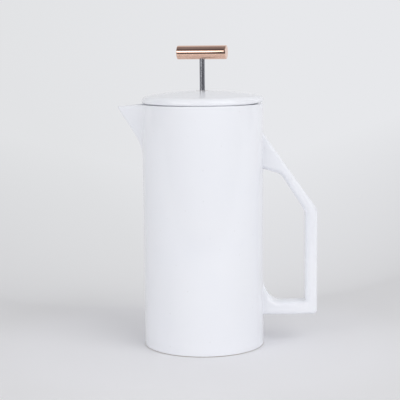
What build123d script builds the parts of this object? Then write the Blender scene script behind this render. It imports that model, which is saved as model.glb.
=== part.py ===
from build123d import *

import math
import os

# A stoneware french press: pot with beak spout and angular handle, domed lid, plunger and filter.
# Millimetres, +Z up. The origin is on the pot's axis, on the surface that the foot stands on.
# The handle points along +X, the spout along -X, and the plunger is fully down.

# Pot
POT_R = 45.0
POT_H = 181.4
WALL = 4.5
FLOOR_TOP = 8.0
FLOOR_BEVEL = 4.0
FOOT_BEVEL = 1.0
FOOT_RING = 7.0
FOOT_RECESS = 2.0
RIM_OUT = 1.2
RIM_BEVEL = 1.2
BORE_R = POT_R - WALL

# Spout: a three-sided beak whose front ridge slants out of the wall
BEAK_TIP_R = 66.2
BEAK_HALF_ANGLE = 30.0
BEAK_SLOPE = 0.593
BEAK_ROOT_R = 28.0
BEAK_WALL_SHIFT = 7.5
RIDGE_ROUND = 2.4
SEAM_ROUND = 3.0
CHANNEL_ROUND = 2.0
MOUTH_ROUND = 1.5
RIDGE_PROBE = 10.0

# Handle: a bent bar drawn in the XZ plane, from the upper root down to the foot bar
HANDLE_DEPTH = 18.0
HANDLE_OUT = 85.1
HANDLE_BAR = 8.9
HANDLE_FOOT = 22.8
HANDLE_FOOT_BAR = 9.4
HANDLE_ELBOW = 102.4
HANDLE_INNER_ELBOW = 100.5
HANDLE_TOP_ROOT = 159.4
HANDLE_KNEE = (57.9, 129.0)
HANDLE_UNDER_ROOT = 132.8
HANDLE_CROTCH = (14.0, 22.0)
HANDLE_SINK = 0.9
HANDLE_STUB = 40.0
HANDLE_EDGE = 2.5
HANDLE_GAP_EDGE = 4.5
HANDLE_GAP_MIDDLE = (60.0, 75.0)
ELBOW_ROUND = 9.0
FOOT_CORNER = 3.1
INNER_CORNER = 1.5

# Lid: a shallow dome with a bullnose edge, a seat that rests on the rim, and a locating skirt
LID_R = 45.2
LID_GAP = 0.5
LID_APEX = 191.2
DOME_RISE = 4.9
LID_EDGE_TOP = 4.0
LID_EDGE_BEVEL = 0.8
LID_THICK = 4.8
SEAT_R = (41.7, 43.0)
SKIRT_R = (36.0, 39.6)
SKIRT_DROP = 9.0
SKIRT_BEVEL = 1.0
BOSS_R = 9.0
BOSS_DROP = 3.0

# Rod, knob and the bush that guides the rod
ROD_R = 2.0
ROD_EDGE = 0.4
RUNNING_GAP = 0.06
THREAD_GAP = 0.02
KNOB_R = 5.1
KNOB_LENGTH = 37.0
KNOB_Z = 219.2
KNOB_TURN = -13.0
KNOB_EDGE = 0.4
KNOB_HOLE = 5.5
BUSH_R = 3.5
FLANGE_R = 5.0
FLANGE_T = 1.2
BUSH_TAIL = 2.4
CLIP_R = 6.2
CLIP_T = 0.6
CLIP_GAP = 0.3
CLIP_SLOTS = 6
CLIP_SLOT = (1.5, 0.9)

# Filter stack, from the floor up
STACK_GAP = 0.2
HUB_R = 4.6
HUB_H = 4.2
HUB_FLANGE_R = 7.5
HUB_FLANGE_T = 1.0
CROSS_R = 37.5
CROSS_T = 0.8
CROSS_LIP = 1.6
CROSS_BEVEL = 0.8
WINDOWS = 4
WINDOW_R = (11.0, 31.5)
WINDOW_HALF_ANGLE = 35.0
WINDOW_ROUND = 2.5
GROMMET_R = 5.2
GROMMET_NECK = 3.6
GROMMET_LEAF = 0.25
SCREEN_T = 0.3
SCREEN_R = 40.15
SCREEN_RIM = 5.0
SCREEN_BEVEL = 1.2
SPIRAL_R = 34.7
SPIRAL_T = 0.6
SPIRAL_FLANGE = 3.2
SPIRAL_BEVEL = 0.8
SPIRAL_SLOTS = 8
SPIRAL_SLOT_W = 2.6
SPIRAL_SLOT_R = (10.5, 19.5, 29.5)
SPIRAL_SWEEP = 36.0
NUT_FLATS = 7.0
NUT_H = 3.2
NUT_BEVEL = 0.5

# Coil spring round the rim of the spiral plate
SPRING_R = 37.25
SPRING_COIL_R = 1.85
SPRING_WIRE = 0.7
SPRING_TURNS = 24
SPRING_SIDES = 4
SPRING_OPEN = 6.0
SPRING_SAMPLES = 24

# Heights that follow from the driving sizes
HUB_Z = FLOOR_TOP + STACK_GAP
CROSS_Z = HUB_Z + HUB_H
GROMMET_Z = CROSS_Z + CROSS_T
SCREEN_Z = GROMMET_Z + GROMMET_LEAF
SPIRAL_Z = SCREEN_Z + SCREEN_T + GROMMET_LEAF
NUT_Z = SPIRAL_Z + SPIRAL_T
SPRING_Z = SCREEN_Z + SCREEN_T + STACK_GAP + SPRING_COIL_R + SPRING_WIRE / 2
ROD_TOP = KNOB_Z - KNOB_R + KNOB_HOLE - STACK_GAP
LID_UNDER = POT_H + LID_GAP
BOSS_Z = LID_APEX - LID_THICK - BOSS_DROP
FLANGE_SEAT = LID_APEX - FLANGE_T - 2 * RUNNING_GAP
DOME_R = (LID_R**2 + DOME_RISE**2) / (2 * DOME_RISE)


def rounded(face, rounds):
    """The face with each listed corner rounded to its radius."""
    for corner, radius in rounds:
        nearest = face.vertices().sort_by_distance(Vector(*corner))[0]
        face = fillet(nearest, radius)
    return face


def polygon(points, rounds=()):
    """A flat face from corner points, some of them rounded."""
    return rounded(make_face(Polyline(*points, close=True)), rounds)


def turned(face):
    """A body of revolution about the pot's axis, from a face of (radius, height) points."""
    return revolve(Plane.XZ * face, axis=Axis.Z)


def washer(inner_r, outer_r, low, high):
    """A plain flat ring on the axis."""
    return turned(polygon([(inner_r, low), (outer_r, low), (outer_r, high), (inner_r, high)]))


def on_axis(sketch, height, thickness):
    """A flat sketch raised to a height and given a thickness."""
    return extrude(Plane.XY.offset(height) * sketch, amount=thickness)


def polar(radius, degrees):
    """A point in plan from its radius and angle."""
    angle = math.radians(degrees)
    return (radius * math.cos(angle), radius * math.sin(angle))


def beak(tip_r, top):
    """A sharp three-sided beak: a V in plan, closing to a point where its ridge has entered the pot."""
    reach = tip_r - BEAK_ROOT_R
    half = reach * math.tan(math.radians(BEAK_HALF_ANGLE))
    mouth = polygon([(-tip_r, 0), (-BEAK_ROOT_R, half), (-BEAK_ROOT_R, -half)])
    point = Vertex(-BEAK_ROOT_R, 0, top - reach / BEAK_SLOPE)
    return loft([Plane.XY.offset(top) * mouth, point])


def ridge_edges(shape, tip_r):
    """The edge that runs down the front of a beak."""
    probe = Vector(-tip_r + RIDGE_PROBE * BEAK_SLOPE, 0, POT_H - RIDGE_PROBE)
    return shape.edges().sort_by_distance(probe)[:1]


def wall_edges(shape, radius):
    """The edges where a beak runs into a round wall of that radius, below the rim."""
    slack = 0.05
    found = []
    for edge in shape.edges():
        middle = edge @ 0.5
        on_wall = abs(math.hypot(middle.X, middle.Y) - radius) < slack
        if on_wall and middle.X < 0 and POT_H / 2 < middle.Z < POT_H - slack:
            found.append(edge)
    return found


def rim_face(shape):
    """The flat top of the rim."""
    return shape.faces().filter_by(Plane.XY).sort_by(Axis.Z)[-1]


def pot_outside():
    """The cylinder and its beak, blended where they meet."""
    foot = [(0, 0), (POT_R - FOOT_BEVEL, 0), (POT_R, FOOT_BEVEL)]
    body = turned(polygon([*foot, (POT_R, POT_H), (0, POT_H)])) + beak(BEAK_TIP_R, POT_H)
    body = fillet(ridge_edges(body, BEAK_TIP_R), RIDGE_ROUND)
    return fillet(wall_edges(body, POT_R), SEAM_ROUND)


def pot_hollow():
    """The bore, drawn in towards the floor."""
    top = POT_H + WALL
    floor = [(0, FLOOR_TOP), (BORE_R - FLOOR_BEVEL, FLOOR_TOP), (BORE_R, FLOOR_TOP + FLOOR_BEVEL)]
    return turned(polygon([*floor, (BORE_R, top), (0, top)]))


def pouring_channel():
    """The open V inside the beak, parallel to its outside."""
    tip_r = BEAK_TIP_R - BEAK_WALL_SHIFT
    channel = beak(tip_r + WALL * BEAK_SLOPE, POT_H + WALL)
    return fillet(ridge_edges(channel, tip_r), CHANNEL_ROUND)


def foot_recess():
    """The shallow hollow inside the foot ring."""
    edge = POT_R - FOOT_RING
    return turned(polygon([(0, 0), (edge, 0), (edge - FOOT_RECESS, FOOT_RECESS), (0, FOOT_RECESS)]))


def pot():
    body = pot_outside() - pot_hollow() - pouring_channel() - foot_recess()
    body = fillet(wall_edges(body, BORE_R), MOUTH_ROUND)
    body = fillet(rim_face(body).outer_wire().edges(), RIM_OUT)
    return chamfer(rim_face(body).inner_wires()[0].edges(), RIM_BEVEL)


def handle_outline():
    """The bent bar seen from the side, with its ends run on into the pot."""
    inner_x = HANDLE_OUT - HANDLE_BAR
    inner_z = HANDLE_FOOT + HANDLE_FOOT_BAR
    stub = POT_R - HANDLE_STUB
    pitch = (HANDLE_TOP_ROOT - HANDLE_ELBOW) / (HANDLE_OUT - POT_R)
    under_pitch = (HANDLE_UNDER_ROOT - HANDLE_KNEE[1]) / (HANDLE_KNEE[0] - POT_R)
    crotch_x, crotch_z = HANDLE_CROTCH
    crotch = (POT_R - HANDLE_SINK + crotch_x, inner_z + crotch_z)
    straight = Polyline(
        (crotch[0] - crotch_x, crotch[1]),
        (HANDLE_STUB, crotch[1]),
        (HANDLE_STUB, HANDLE_FOOT),
        (HANDLE_OUT, HANDLE_FOOT),
        (HANDLE_OUT, HANDLE_ELBOW),
        (HANDLE_STUB, HANDLE_TOP_ROOT + stub * pitch),
        (HANDLE_STUB, HANDLE_UNDER_ROOT + stub * under_pitch),
        HANDLE_KNEE,
        (inner_x, HANDLE_INNER_ELBOW),
        (inner_x, inner_z),
        (crotch[0], inner_z),
    )
    curve = EllipticalCenterArc(crotch, crotch_x, crotch_z, 180, arc_size=90)
    rounds = [
        ((HANDLE_OUT, HANDLE_FOOT), FOOT_CORNER),
        ((HANDLE_OUT, HANDLE_ELBOW), ELBOW_ROUND),
        (HANDLE_KNEE, ELBOW_ROUND),
        ((inner_x, HANDLE_INNER_ELBOW), ELBOW_ROUND),
        ((inner_x, inner_z), INNER_CORNER),
    ]
    return rounded(make_face([straight, curve]), rounds)


def long_edges(bar, towards_gap):
    """The edges that run along the handle, beside the finger gap or on the outer side."""
    gap_x, gap_z = HANDLE_GAP_MIDDLE
    found = []
    for side in bar.faces().filter_by(Plane.XZ):
        for edge in side.edges():
            wall = next(f for f in bar.faces() if edge in f.edges() and f != side)
            middle = edge @ 0.5
            faces_gap = wall.normal_at(middle).dot(Vector(gap_x, middle.Y, gap_z) - middle) > 0
            if middle.X > POT_R - HANDLE_SINK and faces_gap == towards_gap:
                found.append(edge)
    return found


def handle():
    bar = extrude(Plane.XZ * handle_outline(), amount=HANDLE_DEPTH / 2, both=True)
    outer_middles = [edge @ 0.5 for edge in long_edges(bar, False)]
    bar = fillet(long_edges(bar, True), HANDLE_GAP_EDGE)
    outer_edges = [bar.edges().sort_by_distance(middle)[0] for middle in outer_middles]
    bar = fillet(outer_edges, HANDLE_EDGE)
    return bar - Cylinder(POT_R, POT_H, align=(Align.CENTER, Align.CENTER, Align.MIN))


def dome_height(radius):
    """The height of the lid's top at a radius."""
    return LID_APEX - DOME_R + math.sqrt(DOME_R**2 - radius**2)


def lid():
    hole = BUSH_R + RUNNING_GAP
    pocket = FLANGE_R + RUNNING_GAP
    skirt_in, skirt_out = SKIRT_R
    seat_in, seat_out = SEAT_R
    skirt_low = POT_H - SKIRT_DROP
    edge_top = (LID_R, dome_height(LID_R))
    dome = [(r, dome_height(r)) for r in (pocket, LID_R / 2, LID_R)]
    underside = Polyline(
        dome[0],
        (pocket, FLANGE_SEAT),
        (hole, FLANGE_SEAT),
        (hole, BOSS_Z),
        (BOSS_R - SKIRT_BEVEL, BOSS_Z),
        (BOSS_R, BOSS_Z + SKIRT_BEVEL),
        (BOSS_R, dome_height(BOSS_R) - LID_THICK),
        (skirt_in, dome_height(skirt_in) - LID_THICK),
        (skirt_in, skirt_low),
        (skirt_out - SKIRT_BEVEL, skirt_low),
        (skirt_out, skirt_low + SKIRT_BEVEL),
        (skirt_out, LID_UNDER),
        (seat_in, LID_UNDER),
        (seat_in, POT_H),
        (seat_out, POT_H),
        (seat_out, LID_UNDER),
        (LID_R - LID_EDGE_BEVEL, LID_UNDER),
        (LID_R, LID_UNDER + LID_EDGE_BEVEL),
        edge_top,
    )
    face = make_face([ThreePointArc(*dome), underside])
    return turned(rounded(face, [(edge_top, LID_EDGE_TOP)]))


def lid_guide_bush():
    bore = ROD_R + RUNNING_GAP
    seat = FLANGE_SEAT + RUNNING_GAP
    tail = BOSS_Z - BUSH_TAIL
    corners = [(bore, tail), (BUSH_R, tail), (BUSH_R, seat), (FLANGE_R, seat)]
    return turned(polygon([*corners, (FLANGE_R, seat + FLANGE_T), (bore, seat + FLANGE_T)]))


def bush_retaining_ring():
    top = BOSS_Z - CLIP_GAP
    ring = washer(BUSH_R, CLIP_R, top - CLIP_T, top)
    depth, width = CLIP_SLOT
    reach = BUSH_R + depth
    notch = Pos(reach / 2, 0, top) * Box(reach, width, 3 * CLIP_T)
    return ring - [Rot(0, 0, angle) * notch for angle in range(0, 360, 360 // CLIP_SLOTS)]


def plunger_rod():
    foot = HUB_Z + STACK_GAP
    tip = ROD_R - ROD_EDGE
    ends = [(tip, foot), (ROD_R, foot + ROD_EDGE), (ROD_R, ROD_TOP - ROD_EDGE), (tip, ROD_TOP)]
    return turned(polygon([(0, foot), *ends, (0, ROD_TOP)]))


def knob():
    bar = Rot(0, 90, 0) * Cylinder(KNOB_R, KNOB_LENGTH)
    bar = chamfer(bar.edges().filter_by(GeomType.CIRCLE), KNOB_EDGE)
    hole = Pos(0, 0, -KNOB_R) * Cylinder(ROD_R + THREAD_GAP, 2 * KNOB_HOLE)
    return Pos(0, 0, KNOB_Z) * Rot(0, 0, KNOB_TURN) * (bar - hole)


def lock_nut():
    thread = Circle(ROD_R + THREAD_GAP)
    prism = on_axis(RegularPolygon(NUT_FLATS / 2, 6, major_radius=False) - thread, NUT_Z, NUT_H)
    corner = NUT_FLATS / math.sqrt(3)
    top = NUT_Z + NUT_H
    bevel = [(corner, top - NUT_BEVEL), (corner - 2 * NUT_BEVEL, top)]
    crown = turned(polygon([(0, NUT_Z), (corner, NUT_Z), *bevel, (0, top)]))
    return prism & crown


def spiral_plate():
    top = SPIRAL_Z + SPIRAL_FLANGE
    bore = ROD_R + THREAD_GAP
    inner = SPIRAL_R - SPIRAL_T
    floor_top = SPIRAL_Z + SPIRAL_T
    bend = [(SPIRAL_R - SPIRAL_BEVEL, SPIRAL_Z), (SPIRAL_R, SPIRAL_Z + SPIRAL_BEVEL)]
    inside = [(inner, top), (inner, floor_top), (bore, floor_top)]
    plate = turned(polygon([(bore, SPIRAL_Z), *bend, (SPIRAL_R, top), *inside]))
    angles = (0, SPIRAL_SWEEP / 2, SPIRAL_SWEEP)
    arc = ThreePointArc(*[polar(r, a) for r, a in zip(SPIRAL_SLOT_R, angles)])
    slot = on_axis(SlotArc(arc, SPIRAL_SLOT_W), SPIRAL_Z, SPIRAL_T)
    return plate - [Rot(0, 0, angle) * slot for angle in range(0, 360, 360 // SPIRAL_SLOTS)]


def filter_screen():
    top = SCREEN_Z + SCREEN_RIM
    inner = SCREEN_R - SCREEN_T
    floor_top = SCREEN_Z + SCREEN_T
    outer_bend = [(SCREEN_R - SCREEN_BEVEL, SCREEN_Z), (SCREEN_R, SCREEN_Z + SCREEN_BEVEL)]
    inner_bend = [(inner, floor_top + SCREEN_BEVEL), (inner - SCREEN_BEVEL, floor_top)]
    outside = [(GROMMET_NECK, SCREEN_Z), *outer_bend, (SCREEN_R, top)]
    inside = [(inner, top), *inner_bend, (GROMMET_NECK, floor_top)]
    return turned(polygon(outside + inside))


def screen_grommet():
    bore = ROD_R + THREAD_GAP
    low = GROMMET_Z
    high = SPIRAL_Z
    leaf_low = washer(GROMMET_NECK, GROMMET_R, low, low + GROMMET_LEAF)
    leaf_high = washer(GROMMET_NECK, GROMMET_R, high - GROMMET_LEAF, high)
    return washer(bore, GROMMET_NECK, low, high) + leaf_low + leaf_high


def window():
    """One opening of the cross plate: a ring sector with rounded corners."""
    inner, outer = WINDOW_R
    half = WINDOW_HALF_ANGLE
    corners = [polar(r, a) for r, a in ((inner, -half), (outer, -half), (outer, half), (inner, half))]
    sides = [Line(corners[0], corners[1]), Line(corners[2], corners[3])]
    arcs = [CenterArc((0, 0), r, -half, 2 * half) for r in WINDOW_R]
    return rounded(make_face(sides + arcs), [(c, WINDOW_ROUND) for c in corners])


def cross_plate():
    bore = ROD_R + THREAD_GAP
    top = CROSS_Z + CROSS_T
    low = CROSS_Z - CROSS_LIP
    inner = CROSS_R - CROSS_T
    inside = [(bore, CROSS_Z), (inner, CROSS_Z), (inner, low)]
    outside = [(CROSS_R, low), (CROSS_R, top - CROSS_BEVEL), (CROSS_R - CROSS_BEVEL, top), (bore, top)]
    plate = turned(polygon(inside + outside))
    opening = on_axis(window(), CROSS_Z, CROSS_T)
    return plate - [Rot(0, 0, angle) * opening for angle in range(0, 360, 360 // WINDOWS)]


def hub_nut():
    bore = ROD_R + THREAD_GAP
    collar = washer(bore, HUB_FLANGE_R, CROSS_Z - HUB_FLANGE_T, CROSS_Z)
    hexagon = RegularPolygon(HUB_R, 6, major_radius=False) - Circle(bore)
    return collar + on_axis(hexagon, HUB_Z, HUB_H)


def coil_point(share):
    """The centre of the spring's wire at a share of its length, and its direction there."""
    span = math.radians(360 - SPRING_OPEN)
    around = share * span
    curl = share * SPRING_TURNS * 2 * math.pi
    rate = SPRING_TURNS * 2 * math.pi / span
    radius = SPRING_R + SPRING_COIL_R * math.cos(curl)
    growth = -SPRING_COIL_R * math.sin(curl) * rate
    out = Vector(math.cos(around), math.sin(around), 0)
    along = Vector(-math.sin(around), math.cos(around), 0)
    point = out * radius + Vector(0, 0, SPRING_Z + SPRING_COIL_R * math.sin(curl))
    heading = out * growth + along * radius + Vector(0, 0, SPRING_COIL_R * math.cos(curl) * rate)
    return point, heading.normalized()


def biarc(start, end):
    """Two arcs that leave one point and reach the next in their own directions."""
    (p0, t0), (p1, t1) = start, end
    chord = p1 - p0
    lean = chord.dot(t0 + t1)
    bend = 2 * (1 - t0.dot(t1))
    reach = (math.sqrt(lean**2 + bend * chord.dot(chord)) - lean) / bend
    a = p0 + t0 * reach
    b = p1 - t1 * reach
    middle = (a + b) * 0.5
    return [
        Edge.make_tangent_arc(p0, t0, middle),
        Edge.make_tangent_arc(middle, (b - a).normalized(), p1),
    ]


def spring_gap():
    """The least clear distance between one curl of the spring and another."""
    count = SPRING_TURNS * SPRING_SAMPLES
    points = [coil_point(i / count)[0] for i in range(count + 1)]
    near, far = SPRING_SAMPLES // 2, 2 * SPRING_SAMPLES
    gaps = [(p - q).length for i, p in enumerate(points) for q in points[i + near : i + far]]
    return min(*gaps, (points[0] - points[-1]).length) - SPRING_WIRE


def edge_spring():
    half_turns = 2 * SPRING_TURNS
    marks = [coil_point(i / half_turns) for i in range(half_turns + 1)]
    path = Wire([edge for pair in zip(marks, marks[1:]) for edge in biarc(*pair)])
    start, heading = marks[0]
    section = Plane(origin=start, z_dir=heading) * RegularPolygon(SPRING_WIRE / 2, SPRING_SIDES)
    print("edge_spring: least gap between curls", round(spring_gap(), 2), "mm")
    return sweep(section, path=path)


PIECES = [
    pot,
    handle,
    lid,
    lid_guide_bush,
    bush_retaining_ring,
    plunger_rod,
    knob,
    lock_nut,
    spiral_plate,
    edge_spring,
    filter_screen,
    screen_grommet,
    cross_plate,
    hub_nut,
]

os.makedirs("parts", exist_ok=True)
for piece in PIECES:
    export_step(piece(), f"parts/{piece.__name__}.step")
    print("wrote", piece.__name__)
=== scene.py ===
# %% [markdown]
# # A white stoneware french press
# The pot, the handle and the lid of this press are slip-cast stoneware under a glossy white glaze. A
# steel rod with a copper cross bar works a sprung filter inside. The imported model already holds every
# piece at its real size and place, so this lesson only dresses it: it gives each piece the surface that
# its maker gave it, and swaps the pieces whose facets would show in a glossy finish for smoother meshes
# in the same places.

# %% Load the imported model
import math

import bmesh
import bpy
import numpy as np
from mathutils import Matrix, Vector


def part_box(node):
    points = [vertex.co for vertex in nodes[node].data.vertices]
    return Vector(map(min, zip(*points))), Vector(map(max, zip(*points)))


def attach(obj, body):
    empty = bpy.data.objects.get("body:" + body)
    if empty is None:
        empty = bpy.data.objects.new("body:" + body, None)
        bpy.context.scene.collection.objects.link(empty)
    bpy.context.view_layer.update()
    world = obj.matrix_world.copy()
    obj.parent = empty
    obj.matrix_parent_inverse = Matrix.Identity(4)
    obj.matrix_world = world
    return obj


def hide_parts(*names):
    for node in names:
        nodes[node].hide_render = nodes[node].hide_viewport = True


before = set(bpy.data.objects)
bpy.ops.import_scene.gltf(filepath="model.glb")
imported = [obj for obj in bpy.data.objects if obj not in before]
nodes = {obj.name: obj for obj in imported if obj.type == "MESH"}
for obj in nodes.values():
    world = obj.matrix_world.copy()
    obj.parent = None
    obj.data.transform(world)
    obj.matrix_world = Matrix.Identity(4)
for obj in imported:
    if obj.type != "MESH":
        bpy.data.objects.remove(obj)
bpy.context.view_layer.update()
MM = 0.001
print("nodes:", ", ".join(sorted(nodes)))

# %% [markdown]
# ## Colours and nodes
# Colours are written as the hex values that a screen shows. Blender mixes light in linear values, so one
# function does that change for every colour. A second one adds a shader node, sets its options, and fills
# its sockets with numbers or with the outputs of other nodes, so that a material reads from top to
# bottom. Each pattern gets its scale from a size in millimetres. Wave textures need a scale of their own,
# because they run through 20 radians of their wave where other textures draw one feature.


# %% Helpers for colours and nodes
def linear(hex_colour):
    """An sRGB hex colour as linear red, green, blue and alpha."""
    channels = [int(hex_colour[i : i + 2], 16) / 255 for i in (1, 3, 5)]
    return (*[c / 12.92 if c < 0.04045 else ((c + 0.055) / 1.055) ** 2.4 for c in channels], 1.0)


def add(tree, kind, inputs=None, **settings):
    """Adds a shader node. Settings are its own options, and an input is a value or another's output."""
    node = tree.nodes.new(kind)
    for name, value in settings.items():
        setattr(node, name, value)
    for name, value in (inputs or {}).items():
        if isinstance(value, bpy.types.NodeSocket):
            tree.links.new(value, node.inputs[name])
        else:
            node.inputs[name].default_value = value
    return node


def new_material(name):
    """A material, its empty node tree, and the output that gives the place on the piece."""
    made = bpy.data.materials.new(name)
    made.use_nodes = True
    tree = made.node_tree
    tree.nodes.clear()
    return made, tree, add(tree, "ShaderNodeTexCoord").outputs["Object"]


def surface(tree, inputs):
    """Ends a material in one shader with these inputs."""
    shader = add(tree, "ShaderNodeBsdfPrincipled", inputs)
    add(tree, "ShaderNodeOutputMaterial", {"Surface": shader.outputs["BSDF"]})


print("white is", [round(c, 3) for c in linear("#FFFFFF")])

# %% Pattern scales
WAVE_RADIANS = 20


def per_metre(millimetres):
    """The texture scale that draws one feature in that many millimetres."""
    return 1 / (millimetres * MM)


def waves_per_metre(millimetres):
    """The scale of a wave texture that draws one wave in that many millimetres."""
    return per_metre(millimetres) * 2 * math.pi / WAVE_RADIANS


print("a 2 mm pattern has scale", per_metre(2), "and as a wave", round(waves_per_metre(2), 1))

# %% [markdown]
# ## White glaze over slip-cast stoneware
# A glaze is a thin layer of glass melted over the fired clay. It gives the eye three things: a clean
# reflection on top, a soft white underneath, and slow ripples left by the melt. The clear reflection
# comes from a low roughness at the index of glass. The ripples are a bump a few millimetres wide and
# thousandths of a millimetre high. The white drifts a little where the glaze lies thicker, and a faint
# speck of the clay shows through it now and then. A picture of real glaze could be laid on instead, but
# patterns that are worked out from the place on the piece have no seams.

# %% White glaze
GLAZE_WHITE = "#F6F7FB"
GLAZE_POOLED = "#F2F4FA"
GLAZE_IOR = 1.5
GLAZE_ROUGHNESS = (0.07, 0.12)
DRIFT_MM = 38
RIPPLE_MM = 7
RIPPLE_HEIGHT_MM = 0.006
SPECK = "#C9C7C4"
SPECKS_APART_MM = 8.8
# A speck is full to the first of these shares of that distance, and gone at the second.
SPECK_FULL, SPECK_GONE = 0.03, 0.06
SPECK_STRENGTH = 0.25


def white_glaze():
    made, tree, place = new_material("white_glaze_on_stoneware")
    drift = add(
        tree, "ShaderNodeTexNoise", {"Vector": place, "Scale": per_metre(DRIFT_MM), "Detail": 2.0}
    ).outputs["Fac"]
    colour = add(
        tree,
        "ShaderNodeMixRGB",
        {"Fac": drift, "Color1": linear(GLAZE_WHITE), "Color2": linear(GLAZE_POOLED)},
    )
    cells = add(tree, "ShaderNodeTexVoronoi", {"Vector": place, "Scale": per_metre(SPECKS_APART_MM)})
    speck = add(
        tree,
        "ShaderNodeMapRange",
        {
            "Value": cells.outputs["Distance"],
            "From Min": SPECK_FULL,
            "From Max": SPECK_GONE,
            "To Min": SPECK_STRENGTH,
            "To Max": 0.0,
        },
    )
    specked = add(
        tree,
        "ShaderNodeMixRGB",
        {"Fac": speck.outputs["Result"], "Color1": colour.outputs["Color"], "Color2": linear(SPECK)},
    )
    ripple = add(
        tree, "ShaderNodeTexNoise", {"Vector": place, "Scale": per_metre(RIPPLE_MM), "Detail": 1.0}
    )
    bump = add(
        tree,
        "ShaderNodeBump",
        {"Height": ripple.outputs["Fac"], "Distance": RIPPLE_HEIGHT_MM * MM, "Strength": 1.0},
    )
    gloss = add(
        tree,
        "ShaderNodeMapRange",
        {"Value": drift, "To Min": GLAZE_ROUGHNESS[0], "To Max": GLAZE_ROUGHNESS[1]},
    )
    surface(
        tree,
        {
            "Base Color": specked.outputs["Color"],
            "Roughness": gloss.outputs["Result"],
            "IOR": GLAZE_IOR,
            "Normal": bump.outputs["Normal"],
        },
    )
    return made


glaze = white_glaze()
print("made", glaze.name)

# %% [markdown]
# ## Bare stoneware on the foot
# The potter wipes the glaze off the foot, or the pot would melt fast to the kiln shelf. What shows there
# is the fired clay itself: dry, warm in colour and full of fine grit. A high roughness, a speckled colour
# and a grainy bump of about half a millimetre give that. It is a second material on the pot's lowest
# faces, so the pot stays one piece.

# %% Bare stoneware
CLAY = "#E0D8CC"
CLAY_GRIT = "#B7A893"
CLAY_ROUGHNESS = 0.85
GRIT_MM = 0.6
GRIT_HEIGHT_MM = 0.1


def bare_stoneware():
    made, tree, place = new_material("bare_fired_stoneware")
    grit = add(
        tree, "ShaderNodeTexNoise", {"Vector": place, "Scale": per_metre(GRIT_MM), "Detail": 4.0}
    ).outputs["Fac"]
    colour = add(
        tree, "ShaderNodeMixRGB", {"Fac": grit, "Color1": linear(CLAY), "Color2": linear(CLAY_GRIT)}
    )
    bump = add(tree, "ShaderNodeBump", {"Height": grit, "Distance": GRIT_HEIGHT_MM * MM, "Strength": 0.6})
    surface(
        tree,
        {
            "Base Color": colour.outputs["Color"],
            "Roughness": CLAY_ROUGHNESS,
            "Normal": bump.outputs["Normal"],
        },
    )
    return made


clay = bare_stoneware()
print("made", clay.name)

# %% [markdown]
# ## Turned and polished copper
# The cross bar is solid copper, faced and turned on a lathe and then polished. An orange paint would look
# flat, because polished metal has no colour of its own except the tint of its reflections. So the tint is
# that of copper, and the rest is left to what the bar mirrors. The lathe leaves rings round the bar, far
# finer than a picture shows, so they are drawn coarser here. Handling leaves soft smudges in the gloss.

# %% Polished copper
COPPER = "#F9D6C2"
COPPER_WARM = "#EDC3AC"
COPPER_ROUGHNESS = (0.03, 0.07)
SMUDGE_MM = 9
LATHE_RING_MM = 2.0
LATHE_RING_HEIGHT_MM = 0.0006
LATHE_RING_WOBBLE = 0.3


def polished_copper():
    made, tree, place = new_material("turned_polished_copper")
    smudge = add(
        tree, "ShaderNodeTexNoise", {"Vector": place, "Scale": per_metre(SMUDGE_MM), "Detail": 3.0}
    ).outputs["Fac"]
    colour = add(
        tree, "ShaderNodeMixRGB", {"Fac": smudge, "Color1": linear(COPPER), "Color2": linear(COPPER_WARM)}
    )
    rings = add(
        tree,
        "ShaderNodeTexWave",
        {"Vector": place, "Scale": waves_per_metre(LATHE_RING_MM), "Distortion": LATHE_RING_WOBBLE},
        bands_direction="X",
    )
    bump = add(
        tree,
        "ShaderNodeBump",
        {"Height": rings.outputs["Fac"], "Distance": LATHE_RING_HEIGHT_MM * MM, "Strength": 0.5},
    )
    gloss = add(
        tree,
        "ShaderNodeMapRange",
        {"Value": smudge, "To Min": COPPER_ROUGHNESS[0], "To Max": COPPER_ROUGHNESS[1]},
    )
    surface(
        tree,
        {
            "Base Color": colour.outputs["Color"],
            "Metallic": 1.0,
            "Roughness": gloss.outputs["Result"],
            "Normal": bump.outputs["Normal"],
        },
    )
    return made


copper = polished_copper()
print("made", copper.name)

# %% [markdown]
# ## Drawn, stamped and woven steel
# The rod is stainless steel, drawn through a die and polished, so its faint scratches run along it. They
# are drawn wider here than they are, or nothing would show of them. The filter plates are stamped from
# sheet and tumbled with stones, which leaves a soft cloudy gloss with no direction. The screen is woven
# from wire thinner than a hair. Thousands of real wires would be too many to model, so the weave is two
# crossed waves in the material, with painted shade in the gaps between the wires. Its real pitch is about
# a quarter of a millimetre, and it is drawn about eight times as coarse.

# %% Drawn steel
STEEL = "#C9CBD0"
STEEL_DARK = "#B4B6BC"
DRAWN_ROUGHNESS = (0.22, 0.30)
SCRATCH_WIDTH_MM = 0.35
SCRATCH_LENGTH_MM = 30


def drawn_steel():
    made, tree, place = new_material("drawn_polished_steel")
    wide, long = per_metre(SCRATCH_WIDTH_MM), per_metre(SCRATCH_LENGTH_MM)
    along = add(tree, "ShaderNodeMapping", {"Vector": place, "Scale": (wide, wide, long)})
    scratch = add(
        tree, "ShaderNodeTexNoise", {"Vector": along.outputs["Vector"], "Scale": 1.0, "Detail": 2.0}
    ).outputs["Fac"]
    colour = add(
        tree, "ShaderNodeMixRGB", {"Fac": scratch, "Color1": linear(STEEL), "Color2": linear(STEEL_DARK)}
    )
    gloss = add(
        tree,
        "ShaderNodeMapRange",
        {"Value": scratch, "To Min": DRAWN_ROUGHNESS[0], "To Max": DRAWN_ROUGHNESS[1]},
    )
    surface(
        tree,
        {"Base Color": colour.outputs["Color"], "Metallic": 1.0, "Roughness": gloss.outputs["Result"]},
    )
    return made


steel = drawn_steel()
print("made", steel.name)

# %% Stamped steel
STAMPED_ROUGHNESS = (0.18, 0.38)
TUMBLE_MM = 1.6
TUMBLE_HEIGHT_MM = 0.01


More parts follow.
